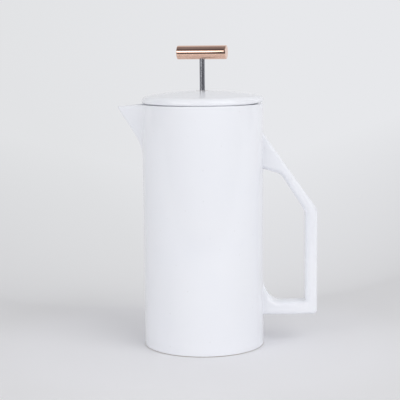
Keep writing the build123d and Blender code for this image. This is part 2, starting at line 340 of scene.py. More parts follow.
def stamped_steel():
    made, tree, place = new_material("stamped_tumbled_steel")
    cloud = add(
        tree, "ShaderNodeTexNoise", {"Vector": place, "Scale": per_metre(TUMBLE_MM), "Detail": 4.0}
    ).outputs["Fac"]
    colour = add(
        tree, "ShaderNodeMixRGB", {"Fac": cloud, "Color1": linear(STEEL), "Color2": linear(STEEL_DARK)}
    )
    gloss = add(
        tree,
        "ShaderNodeMapRange",
        {"Value": cloud, "To Min": STAMPED_ROUGHNESS[0], "To Max": STAMPED_ROUGHNESS[1]},
    )
    bump = add(
        tree, "ShaderNodeBump", {"Height": cloud, "Distance": TUMBLE_HEIGHT_MM * MM, "Strength": 0.5}
    )
    surface(
        tree,
        {
            "Base Color": colour.outputs["Color"],
            "Metallic": 1.0,
            "Roughness": gloss.outputs["Result"],
            "Normal": bump.outputs["Normal"],
        },
    )
    return made


sheet_steel = stamped_steel()
print("made", sheet_steel.name)

# %% Woven steel
# The gaps between the wires are painted dark: painted shade, not the colour of the steel.
WEAVE_PAINTED_SHADE = "#4B4C50"
WEAVE_ROUGHNESS = 0.32
WEAVE_MM = 2.0
WEAVE_HEIGHT_MM = 0.12


def woven_steel():
    made, tree, place = new_material("woven_steel_wire")
    warp, weft = [
        add(
            tree,
            "ShaderNodeTexWave",
            {"Vector": place, "Scale": waves_per_metre(WEAVE_MM)},
            bands_direction=direction,
        ).outputs["Fac"]
        for direction in "XY"
    ]
    wires = add(tree, "ShaderNodeMath", {0: warp, 1: weft}, operation="MAXIMUM").outputs["Value"]
    colour = add(
        tree, "ShaderNodeMixRGB", {"Fac": wires, "Color1": linear(WEAVE_PAINTED_SHADE), "Color2": linear(STEEL)}
    )
    bump = add(tree, "ShaderNodeBump", {"Height": wires, "Distance": WEAVE_HEIGHT_MM * MM, "Strength": 1.0})
    surface(
        tree,
        {
            "Base Color": colour.outputs["Color"],
            "Metallic": 1.0,
            "Roughness": WEAVE_ROUGHNESS,
            "Normal": bump.outputs["Normal"],
        },
    )
    return made


mesh_steel = woven_steel()
print("made", mesh_steel.name)

# %% [markdown]
# ## Turned acetal
# A bare ceramic hole would grind a steel rod, so a white acetal bush lines it. It is turned from bar,
# which leaves rings on a slightly waxy plastic. Plain white would do for so small a piece, but the rings
# tell it from the glaze: they are a bump, with painted shade in their grooves. They are drawn coarser
# here, or nothing would show of them.

# %% Turned acetal
ACETAL = "#E9E9E6"
# The grooves of the rings are painted this darker colour: painted shade.
ACETAL_PAINTED_SHADE = "#DEDEDB"
ACETAL_ROUGHNESS = 0.42
ACETAL_RING_MM = 0.8
ACETAL_RING_HEIGHT_MM = 0.01


def turned_acetal():
    made, tree, place = new_material("turned_white_acetal")
    rings = add(
        tree,
        "ShaderNodeTexWave",
        {"Vector": place, "Scale": waves_per_metre(ACETAL_RING_MM)},
        wave_type="RINGS",
        rings_direction="Z",
    ).outputs["Fac"]
    colour = add(
        tree, "ShaderNodeMixRGB", {"Fac": rings, "Color1": linear(ACETAL), "Color2": linear(ACETAL_PAINTED_SHADE)}
    )
    bump = add(
        tree, "ShaderNodeBump", {"Height": rings, "Distance": ACETAL_RING_HEIGHT_MM * MM, "Strength": 0.5}
    )
    surface(
        tree,
        {
            "Base Color": colour.outputs["Color"],
            "Roughness": ACETAL_ROUGHNESS,
            "Normal": bump.outputs["Normal"],
        },
    )
    return made


acetal = turned_acetal()
print("made", acetal.name)

# %% [markdown]
# ## Meshes from rings
# Round things are easiest as a stack of rings: each ring is a loop of points, and each is joined to the
# next with four-sided faces. A lathe piece has round rings from a half outline. A cast bar or a pot with
# a spout has rings of another shape, and the same function joins them. Outlines are given as corners with
# a rounding each, so a softened edge needs one number and no list of points.

# %% Rings and lathes
AROUND = 160
SHARP = math.radians(38)


def put_in_scene(name, data):
    """A new object with that data, linked into the scene."""
    made = bpy.data.objects.new(name, data)
    bpy.context.scene.collection.objects.link(made)
    return made


def skin(name, rings, closed=False, caps=False):
    """A smooth mesh from rings. Closed joins the last ring to the first, and caps fill the two ends."""
    count = len(rings[0])
    joins = [(k, k + 1) for k in range(len(rings) - 1)]
    if closed:
        joins.append((len(rings) - 1, 0))
    faces = [
        (a * count + i, a * count + (i + 1) % count, b * count + (i + 1) % count, b * count + i)
        for a, b in joins
        for i in range(count)
    ]
    if caps:
        last = (len(rings) - 1) * count
        faces += [tuple(range(count)), tuple(range(last, last + count))]
    mesh = bpy.data.meshes.new(name)
    mesh.from_pydata(np.concatenate(rings).tolist(), [], faces)
    work = bmesh.new()
    work.from_mesh(mesh)
    bmesh.ops.recalc_face_normals(work, faces=work.faces)
    work.to_mesh(mesh)
    work.free()
    mesh.shade_smooth()
    mesh.set_sharp_from_angle(angle=SHARP)
    return put_in_scene(name, mesh)


def lathe(name, profile, **ends):
    """A turned piece from (radius, height) points."""
    turn = np.linspace(0, 2 * math.pi, AROUND, endpoint=False)
    circle = np.column_stack((np.cos(turn), np.sin(turn)))
    return skin(name, [np.column_stack((r * circle, np.full(AROUND, z))) for r, z in profile], **ends)


def dress(piece, body, slot, *materials):
    """Gives a piece its materials and its body. Its slot is not used."""
    for made in materials:
        piece.data.materials.append(made)
    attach(piece, body)


print("a lathe piece has", AROUND, "points in each ring")

# %% Outlines with rounded corners
ARC_STEP = math.radians(9)
LEAST_ARC_STEPS = 2
# Keeps a very sharp corner from shooting past its neighbours when its outline shrinks.
LEAST_CORNER_SHARE = 0.5


def soften(corners):
    """A closed outline from (x, y, rounding) corners, with an arc in place of each rounded one."""
    outline = []
    for i, (x, y, rounding) in enumerate(corners):
        if rounding == 0:
            outline.append((x, y))
            continue
        corner = Vector((x, y))
        back = (Vector(corners[i - 1][:2]) - corner).normalized()
        ahead = (Vector(corners[(i + 1) % len(corners)][:2]) - corner).normalized()
        half = back.angle(ahead) / 2
        centre = corner + (back + ahead).normalized() * rounding / math.sin(half)
        reach = rounding / math.tan(half)
        first = corner + back * reach - centre
        last = corner + ahead * reach - centre
        turn = math.atan2(first.cross(last), first.dot(last))
        steps = max(LEAST_ARC_STEPS, round(abs(turn) / ARC_STEP))
        for k in range(steps + 1):
            outline.append(tuple(centre + Matrix.Rotation(turn * k / steps, 2) @ first))
    return outline


def shrink(outline, distance):
    """A closed outline moved inward by one distance, or by a distance for each point."""
    points = np.array(outline, float)
    following = np.roll(points, -1, axis=0)
    area = np.sum(points[:, 0] * following[:, 1] - points[:, 1] * following[:, 0])
    normals = []
    for side in (points - np.roll(points, 1, axis=0), following - points):
        across = np.column_stack((-side[:, 1], side[:, 0]))
        normals.append(across / np.linalg.norm(side, axis=1)[:, None])
    middle = normals[0] + normals[1]
    share = np.maximum(np.sum(middle * normals[0], axis=1), LEAST_CORNER_SHARE)
    return points + np.sign(area) * np.asarray(distance)[..., None] * middle / share[:, None]


print("a rounded square has", len(soften([(0, 0, 1), (9, 0, 1), (9, 9, 1), (0, 9, 1)])), "points")

# %% [markdown]
# ## The pot
# The pot is a plain cylinder with a beak: a V in plan whose point slides back into the wall on the way
# down, and whose tip droops a little from the kiln. It could be two meshes joined by a boolean, but then
# the melted seam between them would be hard to smooth. Seen from the axis, though, each direction meets
# the outside only once. So the outside is a distance from the axis that depends on the angle and the
# height, and the seam is a soft maximum of the cylinder and the beak. The hollow is made in the same way,
# and the rim rolls from one to the other.

# %% Beak and wall sizes
pot_low, pot_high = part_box("pot")
POT_R = pot_high.y
POT_H = pot_high.z
WALL_THICK = 4.5 * MM
BORE_R = POT_R - WALL_THICK
RIM_OUT = 0.9 * MM
RIM_IN = 1.2 * MM
BEAK_END = -pot_low.x
BEAK_HALF_ANGLE = math.radians(30)
BEAK_SLOPE = 0.593
BEAK_THICK = 7.5 * MM
RIDGE_ROUND = 2.4 * MM
CHANNEL_ROUND = 2.0 * MM
BEAK_POINT = BEAK_END + RIM_OUT * BEAK_SLOPE + RIDGE_ROUND / math.sin(BEAK_HALF_ANGLE) - RIDGE_ROUND
CHANNEL_POINT = BEAK_POINT - BEAK_THICK
# The V is followed this far from the spout's direction. Past that it lies well inside the pot.
BEAK_TURN = math.radians(90)
BEAK_LEAST = 20 * MM
SEAM = 5 * MM
SPOUT_LOW = 138 * MM
TIP_DROOP = 1.5 * MM
print(f"pot radius {POT_R:.4f}, beak to {BEAK_END:.4f}")

# %% Pot surfaces as distances from the axis
RIDGE_TURN = math.radians(40)
RIDGE_STEPS = 64
RIDGE_CROWDING = 1.7
REST_STEPS = 72


def directions():
    """Angles from the spout's direction, close together on the beak's ridge."""
    fine = RIDGE_TURN * np.linspace(0, 1, RIDGE_STEPS) ** RIDGE_CROWDING
    coarse = np.linspace(RIDGE_TURN, math.pi, REST_STEPS)[1:]
    half = np.concatenate((fine, coarse))
    return np.concatenate((half, -half[-2:0:-1]))


def beak_reach(angle, point, rounding):
    """How far a V with its point at that distance reaches in each direction, with its ridge rounded."""
    sine, cosine = math.sin(BEAK_HALF_ANGLE), math.cos(BEAK_HALF_ANGLE)
    away = np.minimum(np.abs(angle), BEAK_TURN)
    sides = point * sine / np.sin(away + BEAK_HALF_ANGLE)
    centre = point - rounding / sine
    touch = math.atan2(rounding * cosine, centre + rounding * sine)
    ridge = centre * np.cos(away) + np.sqrt(np.maximum(rounding**2 - (centre * np.sin(away)) ** 2, 0))
    return np.where(away < touch, ridge, sides)


def soft_max(a, b, blend):
    """The larger of two values, melted together where they are about the same."""
    near = np.maximum(blend - np.abs(a - b), 0) / blend
    return np.maximum(a, b) + near**2 * blend / 4


def wall(angle, height, radius, point, rounding):
    """The plan outline of a round wall with a beak, at a height."""
    here = max(point - (POT_H - height) * BEAK_SLOPE, BEAK_LEAST)
    reach = soft_max(np.full(len(angle), radius), beak_reach(angle, here, rounding), SEAM)
    return np.column_stack((-reach * np.cos(angle), -reach * np.sin(angle)))


def at_height(outline, height):
    """A plan outline as a ring of points. The beak's tip droops a little, as the clay does in the kiln."""
    reach = np.hypot(outline[:, 0], outline[:, 1])
    share = np.clip((reach - POT_R) / (BEAK_END - POT_R), 0, 1)
    near_rim = np.clip((height - SPOUT_LOW) / (POT_H - SPOUT_LOW), 0, 1)
    return np.column_stack((outline, height - TIP_DROOP * near_rim * share))


print(len(directions()), "directions round the pot")

# %% Build the pot
FOOT_R = (36 * MM, 38 * MM, 44 * MM)
FOOT_MIDDLE = 2 * MM
FOOT_RECESS = 2 * MM
FOOT_BEVEL = 0.5 * MM
FOOT_BARE_UP_TO = 0.3 * MM
FLOOR_TOP = 8 * MM
FLOOR_ROUND = 4 * MM
FLOOR_MIDDLE = 4 * MM
# Extra rings close to the foot's edge keep the shading of the bevel apart from that of the wall.
FOOT_LOOP, WALL_LOOP, WALL_FROM = 0.3 * MM, 1.5 * MM, 4 * MM
WALL_STEPS, BEAK_STEPS, CHANNEL_STEPS, RIM_STEPS = 12, 56, 48, 8


def pot_outside(angle, circle):
    """Rings from the middle of the foot, up the outside, to the top of the rim."""
    foot = [
        (FOOT_MIDDLE, FOOT_RECESS),
        (FOOT_R[0], FOOT_RECESS),
        (FOOT_R[1], 0),
        (FOOT_R[2] - FOOT_LOOP, 0),
        (FOOT_R[2], 0),
    ]
    rings = [at_height(circle * r, z) for r, z in foot]
    levels = [FOOT_BEVEL, WALL_LOOP]
    levels += [*np.linspace(WALL_FROM, SPOUT_LOW, WALL_STEPS)]
    levels += [*np.linspace(SPOUT_LOW, POT_H - RIM_OUT, BEAK_STEPS)[1:]]
    rings += [at_height(wall(angle, z, POT_R, BEAK_POINT, RIDGE_ROUND), z) for z in levels]
    brim = wall(angle, POT_H - RIM_OUT, POT_R, BEAK_POINT, RIDGE_ROUND)
    for t in np.linspace(0, math.pi / 2, RIM_STEPS)[1:]:
        inward = RIM_OUT * (1 - math.cos(t))
        rings.append(at_height(shrink(brim, inward), POT_H - RIM_OUT * (1 - math.sin(t))))
    return rings


def pot_inside(angle, circle):
    """Rings from the top of the rim, down the inside, to the middle of the floor."""
    quarter = np.linspace(0, math.pi / 2, RIM_STEPS)
    mouth = wall(angle, POT_H - RIM_IN, BORE_R, CHANNEL_POINT, CHANNEL_ROUND)
    rings = []
    for t in quarter:
        outward = RIM_IN * (1 - math.sin(t))
        rings.append(at_height(shrink(mouth, -outward), POT_H - RIM_IN * (1 - math.cos(t))))
    levels = [*np.linspace(POT_H - RIM_IN, SPOUT_LOW, CHANNEL_STEPS)[1:]]
    levels += [*np.linspace(SPOUT_LOW, FLOOR_TOP + FLOOR_ROUND, WALL_STEPS)[1:]]
    rings += [at_height(wall(angle, z, BORE_R, CHANNEL_POINT, CHANNEL_ROUND), z) for z in levels]
    for t in quarter[1:]:
        radius = BORE_R - FLOOR_ROUND * (1 - math.cos(t))
        rings.append(at_height(circle * radius, FLOOR_TOP + FLOOR_ROUND * (1 - math.sin(t))))
    rings.append(at_height(circle * FLOOR_MIDDLE, FLOOR_TOP))
    return rings


def pot_rings():
    angle = directions()
    circle = np.column_stack((-np.cos(angle), -np.sin(angle)))
    return pot_outside(angle, circle) + pot_inside(angle, circle)


pot = skin("pot_body", pot_rings(), caps=True)
dress(pot, "pot", "glazed_stoneware", glaze, clay)
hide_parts("pot")
for face in pot.data.polygons:
    if face.center.z < FOOT_BARE_UP_TO:
        face.material_index = 1
print("pot:", len(pot.data.polygons), "faces")

# %% [markdown]
# ## The handle
# The handle was cast in its own mould and stuck on with slip before firing. It is a flat bar bent at an
# elbow, with all its long edges rounded, and rounded more beside the finger gap than outside. A bevel
# would round them all alike. So its side view is one outline, and rings of that outline, shrunk step by
# step towards both flat sides by an amount that each point has of its own, round the edges. Its two ends
# run on into the pot's wall, as the real joint does.

# %% Handle sizes and outline, in millimetres
handle_low, handle_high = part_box("handle")
HANDLE_OUT = handle_high.x / MM
HANDLE_FOOT = handle_low.z / MM
HANDLE_DEPTH = (handle_high.y - handle_low.y) / MM
HANDLE_BAR = 8.9
HANDLE_FOOT_BAR = 9.4
HANDLE_ELBOW = 102.4
HANDLE_INNER_ELBOW = 100.5
HANDLE_TOP_ROOT = 159.4
HANDLE_KNEE = (57.9, 129.0)
HANDLE_UNDER_ROOT = 132.8
HANDLE_CROTCH = (14.0, 22.0)
HANDLE_SINK = 0.9
CROTCH_STEPS = 16
ELBOW_ROUND = 9
FOOT_CORNER = 3.1
INNER_CORNER = 1.5
ROOT_DEPTH = 4.2
ROOT = POT_R / MM - ROOT_DEPTH


def handle_outline():
    """The bar from the side, with its roots inside the pot's wall."""
    inner_x = HANDLE_OUT - HANDLE_BAR
    inner_z = HANDLE_FOOT + HANDLE_FOOT_BAR
    skin_x = POT_R / MM
    pitch = (HANDLE_TOP_ROOT - HANDLE_ELBOW) / (HANDLE_OUT - skin_x)
    under_pitch = (HANDLE_UNDER_ROOT - HANDLE_KNEE[1]) / (HANDLE_KNEE[0] - skin_x)
    wide, tall = HANDLE_CROTCH
    middle_x, middle_z = skin_x - HANDLE_SINK + wide, inner_z + tall
    crotch = [
        (middle_x - wide * math.sin(t), middle_z - tall * math.cos(t), 0)
        for t in np.linspace(0, math.pi / 2, CROTCH_STEPS)
    ]
    corners = [
        (ROOT, middle_z, 0),
        (ROOT, HANDLE_FOOT, 0),
        (HANDLE_OUT, HANDLE_FOOT, FOOT_CORNER),
        (HANDLE_OUT, HANDLE_ELBOW, ELBOW_ROUND),
        (ROOT, HANDLE_TOP_ROOT + ROOT_DEPTH * pitch, 0),
        (ROOT, HANDLE_UNDER_ROOT + ROOT_DEPTH * under_pitch, 0),
        (*HANDLE_KNEE, ELBOW_ROUND),
        (inner_x, HANDLE_INNER_ELBOW, ELBOW_ROUND),
        (inner_x, inner_z, INNER_CORNER),
    ]
    return soften(corners + crotch)


print("handle outline:", len(handle_outline()), "points")

# %% Build the handle
HANDLE_EDGE = 2.5
HANDLE_GAP_EDGE = 4.5
HANDLE_GAP_MIDDLE = (60, 75)
HANDLE_EDGE_STEPS = 10
ROOT_TOLERANCE = 0.01


def edge_radii(outline):
    """The rounding at each point of the outline: larger where it faces the finger gap."""
    points = np.array(outline)
    along = np.roll(points, -1, axis=0) - np.roll(points, 1, axis=0)
    outward = np.column_stack((along[:, 1], -along[:, 0]))
    faces_gap = np.sum(outward * (np.array(HANDLE_GAP_MIDDLE) - points), axis=1) > 0
    return np.where(faces_gap, HANDLE_GAP_EDGE, HANDLE_EDGE)


def handle_rings():
    """Rings of the outline from one flat side to the other, small at the sides and full between."""
    outline = handle_outline()
    radii = edge_radii(outline)
    root = np.array(outline)[:, 0] < ROOT + ROOT_TOLERANCE
    half = HANDLE_DEPTH / 2
    quarter = np.linspace(0, math.pi / 2, HANDLE_EDGE_STEPS)
    starts = {half - r * (1 - math.cos(t)) for r in (HANDLE_EDGE, HANDLE_GAP_EDGE) for t in quarter}
    depths = [-y for y in sorted(starts, reverse=True)] + sorted(starts)
    rings = []
    for y in depths:
        past = np.clip(abs(y) - (half - radii), 0, radii)
        flat = shrink(outline, radii - np.sqrt(radii**2 - past**2))
        flat[root, 0] = ROOT
        rings.append(np.column_stack((flat[:, 0], np.full(len(flat), y), flat[:, 1])) * MM)
    return rings


handle = skin("handle_bar", handle_rings(), caps=True)
dress(handle, "pot", "glazed_stoneware", glaze)
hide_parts("handle")
print("handle:", len(handle.data.polygons), "faces")

# %% [markdown]
# ## The lid
# The lid is a shallow dome with a thick rolled edge, a raised seat that rests on the pot's rim, and a
# skirt that keeps it from sliding. All of it is round, so it is a lathe piece from one half outline,
# which needs fewer numbers than a disc shaped by hand. The kiln has lifted its sides a little, more on
# the handle's side, so the finished mesh is bent in the same way, and the dark gap over the rim opens
# towards the sides.

# %% Lid sizes and outline, in millimetres
lid_low, lid_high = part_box("lid")
SEAT = POT_H / MM
LID_R = lid_high.x / MM
LID_GAP = 0.2
LID_UNDER = SEAT + LID_GAP
LID_APEX = 191.2
LID_RISE = 4.9
LID_THICK = 4.8
LID_EDGE_TOP = 4.0
LID_EDGE_UNDER = 1.5
DOME_R = (LID_R**2 + LID_RISE**2) / (2 * LID_RISE)
DOME_STEPS = 24
SEAT_R = (41.7, 43.0)
SEAT_ROUND = 0.2
SKIRT_R = (36.0, 39.6)
SKIRT_LOW = lid_low.z / MM
SKIRT_ROUND = 1.2
SKIRT_ROOT = (0.6, 2.0)
BOSS_R = 9.0
BOSS_DROP = 3
BOSS_LOW = LID_APEX - LID_THICK - BOSS_DROP
BOSS_ROOT = 1.5
BOSS_ROUND = 1.0
POCKET_R = 5.06
POCKET_DEPTH = 1.32
POCKET_FLOOR = LID_APEX - POCKET_DEPTH
POCKET_BEVEL = 0.3
HOLE_R = 3.56


def dome(radius):
    """The height of the lid's top at a radius."""
    return LID_APEX - DOME_R + math.sqrt(DOME_R**2 - radius**2)


def lid_outline():
    """The lid's half outline: dome, edge, seat, skirt, boss, and the pocket for the bush."""
    first, last = POCKET_R + POCKET_BEVEL, LID_R - LID_EDGE_TOP
    top = [(r, dome(r), 0) for r in np.linspace(first, last, DOME_STEPS)]
    below = [
        (LID_R, dome(LID_R), LID_EDGE_TOP),
        (LID_R, LID_UNDER, LID_EDGE_UNDER),
        (SEAT_R[1], LID_UNDER, 0),
        (SEAT_R[1], SEAT, SEAT_ROUND),
        (SEAT_R[0], SEAT, SEAT_ROUND),
        (SEAT_R[0], LID_UNDER, 0),
        (SKIRT_R[1], LID_UNDER, SKIRT_ROOT[0]),
        (SKIRT_R[1], SKIRT_LOW, SKIRT_ROUND),
        (SKIRT_R[0], SKIRT_LOW, SKIRT_ROUND),
        (SKIRT_R[0], dome(SKIRT_R[0]) - LID_THICK, SKIRT_ROOT[1]),
        (BOSS_R, dome(BOSS_R) - LID_THICK, BOSS_ROOT),
        (BOSS_R, BOSS_LOW, BOSS_ROUND),
        (HOLE_R, BOSS_LOW, 0),
        (HOLE_R, POCKET_FLOOR, 0),
        (POCKET_R, POCKET_FLOOR, 0),
        (POCKET_R, dome(POCKET_R) - POCKET_BEVEL, 0),
    ]
    return [(r * MM, z * MM) for r, z in soften(top + below)]


print("lid outline:", len(lid_outline()), "points")

# %% Build the lid
LID_LIFT_SPOUT = 0.4 * MM
LID_LIFT_HANDLE = 1.0 * MM
LID_LIFT_POWER = 4


def lift_sides(piece):
    """Bends the lid's sides up a little, so that it rests on the rim at the front and the back."""
    for vertex in piece.data.vertices:
        across = vertex.co.x / (LID_R * MM)
        if across < 0:
            vertex.co.z += LID_LIFT_SPOUT * math.sin(across * math.pi / 2) ** 2
        else:
            vertex.co.z += LID_LIFT_HANDLE * across**LID_LIFT_POWER


lid = lathe("lid_dome", lid_outline(), closed=True)
lift_sides(lid)
dress(lid, "lid", "glazed_stoneware", glaze)
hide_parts("lid")
print("lid:", len(lid.data.polygons), "faces")

# %% [markdown]
# ## The knob and the rod
# The knob is a copper bar with its sharp edges broken. A plain cylinder would have knife edges that catch
# no light, so the bar is a lathe piece with a small arc at each end, laid on its side. The rod is screwed
# into it from below, and the lower end of the rod carries the thread for the filter. A screw thread is a
# groove that climbs one pitch each turn, so a stack of rings whose radius depends on the angle and the
# height gives a true one.

# %% Build the knob
knob_low, knob_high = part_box("knob")
KNOB_R = (knob_high.z - knob_low.z) / 2
KNOB_TURN = math.radians(-13)
KNOB_REACH = 18.5 * MM
KNOB_EDGE = 0.4 * MM
KNOB_EDGE_STEPS = 6
KNOB_MIDDLE = 0.4 * MM
# Extra rings beside the rounded edge keep the flat end and the round side true.
KNOB_END_LOOP, KNOB_SIDE_LOOP = 1.6 * KNOB_EDGE, 3 * KNOB_EDGE


def build_knob():
    half = [(KNOB_MIDDLE, KNOB_REACH), (KNOB_R - KNOB_END_LOOP, KNOB_REACH)]
    for t in np.linspace(0, math.pi / 2, KNOB_EDGE_STEPS):
        radius = KNOB_R - KNOB_EDGE * (1 - math.sin(t))
        half.append((radius, KNOB_REACH - KNOB_EDGE * (1 - math.cos(t))))
    half.append((KNOB_R, KNOB_REACH - KNOB_SIDE_LOOP))
    bar = lathe("knob_bar", half + [(r, -x) for r, x in reversed(half)], caps=True)
    bar.data.transform(Matrix.Rotation(math.pi / 2, 4, "Y"))
    bar.location.z = knob_low.z + KNOB_R
    bar.rotation_euler.z = KNOB_TURN
    return bar


knob = build_knob()
dress(knob, "plunger", "polished_copper", copper)
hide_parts("knob")
print("knob:", len(knob.data.polygons), "faces")

# %% Build the rod
rod_low, rod_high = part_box("plunger_rod")
ROD_R = rod_high.x
ROD_EDGE = 0.4 * MM
ROD_AROUND = 32
THREAD_PITCH = 0.7 * MM
THREAD_DEPTH = 0.35 * MM
THREAD_TOP = 24 * MM
RINGS_A_PITCH = 8


def build_rod():
    turn = np.linspace(0, 2 * math.pi, ROD_AROUND, endpoint=False)

    def ring(height, radius):
        return np.column_stack((radius * np.cos(turn), radius * np.sin(turn), np.full(len(turn), height)))

    rings = [ring(rod_low.z, ROD_R - ROD_EDGE)]
    for height in np.arange(rod_low.z + ROD_EDGE, THREAD_TOP, THREAD_PITCH / RINGS_A_PITCH):
        climb = (height / THREAD_PITCH - turn / (2 * math.pi)) % 1
        rings.append(ring(height, ROD_R - THREAD_DEPTH * np.abs(2 * climb - 1)))
    rings.append(ring(THREAD_TOP + THREAD_PITCH, ROD_R))
    rings.append(ring(rod_high.z - ROD_EDGE, ROD_R))
    rings.append(ring(rod_high.z, ROD_R - ROD_EDGE))
    return skin("rod_with_thread", rings, caps=True)


rod = build_rod()
dress(rod, "plunger", "polished_steel", steel)
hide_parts("plunger_rod")
print("rod:", len(rod.data.polygons), "faces")

# %% [markdown]
# ## The filter
# Below the rod, a mesh screen lies between two stamped plates, and a coil spring round the upper plate
# presses the screen's rim against the pot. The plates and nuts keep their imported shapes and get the
# stamped and polished steels. The spring could be a swept mesh, but a Blender curve with a round bevel is
# shorter to write: it winds round a circle with the many tight curls of the real one. The screen is a
# dish with a soft bend at its rim, and the weave is in its material.

# %% Edge spring
spring_low, spring_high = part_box("edge_spring")
SPRING_CURLS = 78
POINTS_A_CURL = 12
SPRING_WIRE = 0.55 * MM
SPRING_COIL = 1.75 * MM
SPRING_R = 37.3 * MM
SPRING_GAP = math.radians(4)


def build_spring():
    height = (spring_low.z + spring_high.z) / 2
    count = SPRING_CURLS * POINTS_A_CURL
    curve = bpy.data.curves.new("edge_spring_coil", "CURVE")
    curve.dimensions = "3D"
    curve.bevel_depth = SPRING_WIRE / 2
    curve.bevel_resolution = 2
    curve.use_fill_caps = True
    line = curve.splines.new("POLY")
    line.points.add(count - 1)
    for i, point in enumerate(line.points):
        around = (2 * math.pi - SPRING_GAP) * i / (count - 1)
        curl = 2 * math.pi * i / POINTS_A_CURL
        radius = SPRING_R + SPRING_COIL * math.cos(curl)
        lift = SPRING_COIL * math.sin(curl)
        point.co = (radius * math.cos(around), radius * math.sin(around), height + lift, 1)
    line.use_smooth = True
    return put_in_scene("edge_spring_coil", curve)


spring = build_spring()
dress(spring, "plunger", "polished_steel", steel)
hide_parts("edge_spring")
print("spring:", SPRING_CURLS, "curls")

# %% Filter screen, in millimetres
screen_low, screen_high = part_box("filter_screen")
SCREEN_R = screen_high.x / MM
SCREEN_SHEET = 0.3
SCREEN_NECK = 3.6
SCREEN_BEND = 1.8
SCREEN_LIP = 0.1
# The dish is flat to this distance from its wall.
SCREEN_FLAT_TO = 4


def screen_outline():
    """The dish's half outline: along the underside, up the wall, and back along the upper side."""
    low, top = screen_low.z / MM, screen_high.z / MM
    inner, upper = SCREEN_R - SCREEN_SHEET, low + SCREEN_SHEET
    corners = [
        (SCREEN_NECK, low, 0),
        (SCREEN_R - SCREEN_FLAT_TO, low, 0),
        (SCREEN_R, low, SCREEN_BEND),
        (SCREEN_R, top, SCREEN_LIP),
        (inner, top, SCREEN_LIP),
        (inner, upper, SCREEN_BEND - SCREEN_SHEET),
        (inner - SCREEN_FLAT_TO, upper, 0),
        (SCREEN_NECK, upper, 0),
    ]
    return [(r * MM, z * MM) for r, z in soften(corners)]


screen = lathe("screen_dish", screen_outline(), closed=True)
dress(screen, "plunger", "wire_mesh", mesh_steel)
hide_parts("filter_screen")
print("screen:", len(screen.data.polygons), "faces")

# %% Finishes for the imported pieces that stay
STAYING = {
    "lid_guide_bush": acetal,
    "bush_retaining_ring": sheet_steel,
    "lock_nut": steel,
    "spiral_plate": sheet_steel,
    "screen_grommet": sheet_steel,
    "cross_plate": sheet_steel,
    "hub_nut": steel,
}
for name, finish in STAYING.items():
    nodes[name].material_slots[0].material = finish
print("refinished", len(STAYING), "packed pieces")

# %% [markdown]
# ## Floor and distance
# The press stands on a pale paper floor that takes its shadow and fades into an equally pale distance. A
# floor of one colour would end in a hard line at the horizon. So its material mixes from lit paper into a
# glow of the distance's own colour, which starts close round the press and later towards both sides. A
# second mix gives the paper painted shade: it is a little darker a hand's width away from the pot.

# %% Distance colour
DISTANCE_LEFT = "#E2E3E5"
DISTANCE_RIGHT = "#E7E8EB"
SIDE_FROM, SIDE_TO = -0.18, 0.05


def distance_colour(tree, direction):
    """The pale distance, with painted light that makes it a little brighter towards the right, for a
    direction of length one.
    """
    across = add(tree, "ShaderNodeSeparateXYZ", {"Vector": direction}).outputs["X"]
    side = add(tree, "ShaderNodeMapRange", {"Value": across, "From Min": SIDE_FROM, "From Max": SIDE_TO})
    return add(
        tree,
        "ShaderNodeMixRGB",
        {"Fac": side.outputs["Result"], "Color1": linear(DISTANCE_LEFT), "Color2": linear(DISTANCE_RIGHT)},
    ).outputs["Color"]


print("distance from", DISTANCE_LEFT, "to", DISTANCE_RIGHT)

# %% Floor fade
# Lengths are in metres. The fan is the spread of sight lines from a point in front of the press.
FADE_FROM, FADE_TO = 0.12, 1.2
FADE_BEND = 0.55
FADE_PULL_MIDDLE, FADE_PULL_SIDE = 1.05, 0.39
FAN_ORIGIN = 0.86
FAN_MIDDLE = -0.02
FAN_WIDE = 0.19


def floor_fade(tree, place, radius):
    """How far the floor has faded into the distance: 0 is paper, and 1 is distance."""
    spot = add(tree, "ShaderNodeSeparateXYZ", {"Vector": place}).outputs
    behind = add(tree, "ShaderNodeMath", {0: spot["Y"], 1: 0.0}, operation="MAXIMUM").outputs["Value"]
    reach = add(tree, "ShaderNodeMath", {0: behind, 1: FAN_ORIGIN}, operation="ADD").outputs["Value"]
    fan = add(tree, "ShaderNodeMath", {0: spot["X"], 1: reach}, operation="DIVIDE").outputs["Value"]
    aside = add(tree, "ShaderNodeMath", {0: fan, 1: FAN_MIDDLE}, operation="SUBTRACT").outputs["Value"]
    away = add(tree, "ShaderNodeMath", {0: aside}, operation="ABSOLUTE").outputs["Value"]
    pull = add(
        tree,
        "ShaderNodeMapRange",
        {"Value": away, "From Max": FAN_WIDE, "To Min": FADE_PULL_MIDDLE, "To Max": FADE_PULL_SIDE},
    ).outputs["Result"]
    pulled = add(tree, "ShaderNodeMath", {0: radius, 1: pull}, operation="MULTIPLY").outputs["Value"]
    span = FADE_TO / FADE_FROM
    folds = add(tree, "ShaderNodeMath", {0: pulled, 1: span}, operation="LOGARITHM").outputs["Value"]
    start = math.log(FADE_FROM) / math.log(span)
    fade = add(
        tree, "ShaderNodeMapRange", {"Value": folds, "From Min": start, "From Max": start + 1}
    ).outputs["Result"]
    return add(tree, "ShaderNodeMath", {0: fade, 1: FADE_BEND}, operation="POWER").outputs["Value"]


print("floor fades from", FADE_FROM, "to", FADE_TO, "m")

# %% Build the floor
FLOOR_NEAR = "#F3F3F6"
# The second colour is painted shade: the paper darkens to it a hand's width from the pot.
FLOOR_PAINTED_SHADE = "#EFEFF1"
SHADE_RING_FROM, SHADE_RING_TO = 0.12, 0.19
FLOOR_RINGS = (0.05, 0.5, 3, 60)
HOLE_EDGE = 0.1


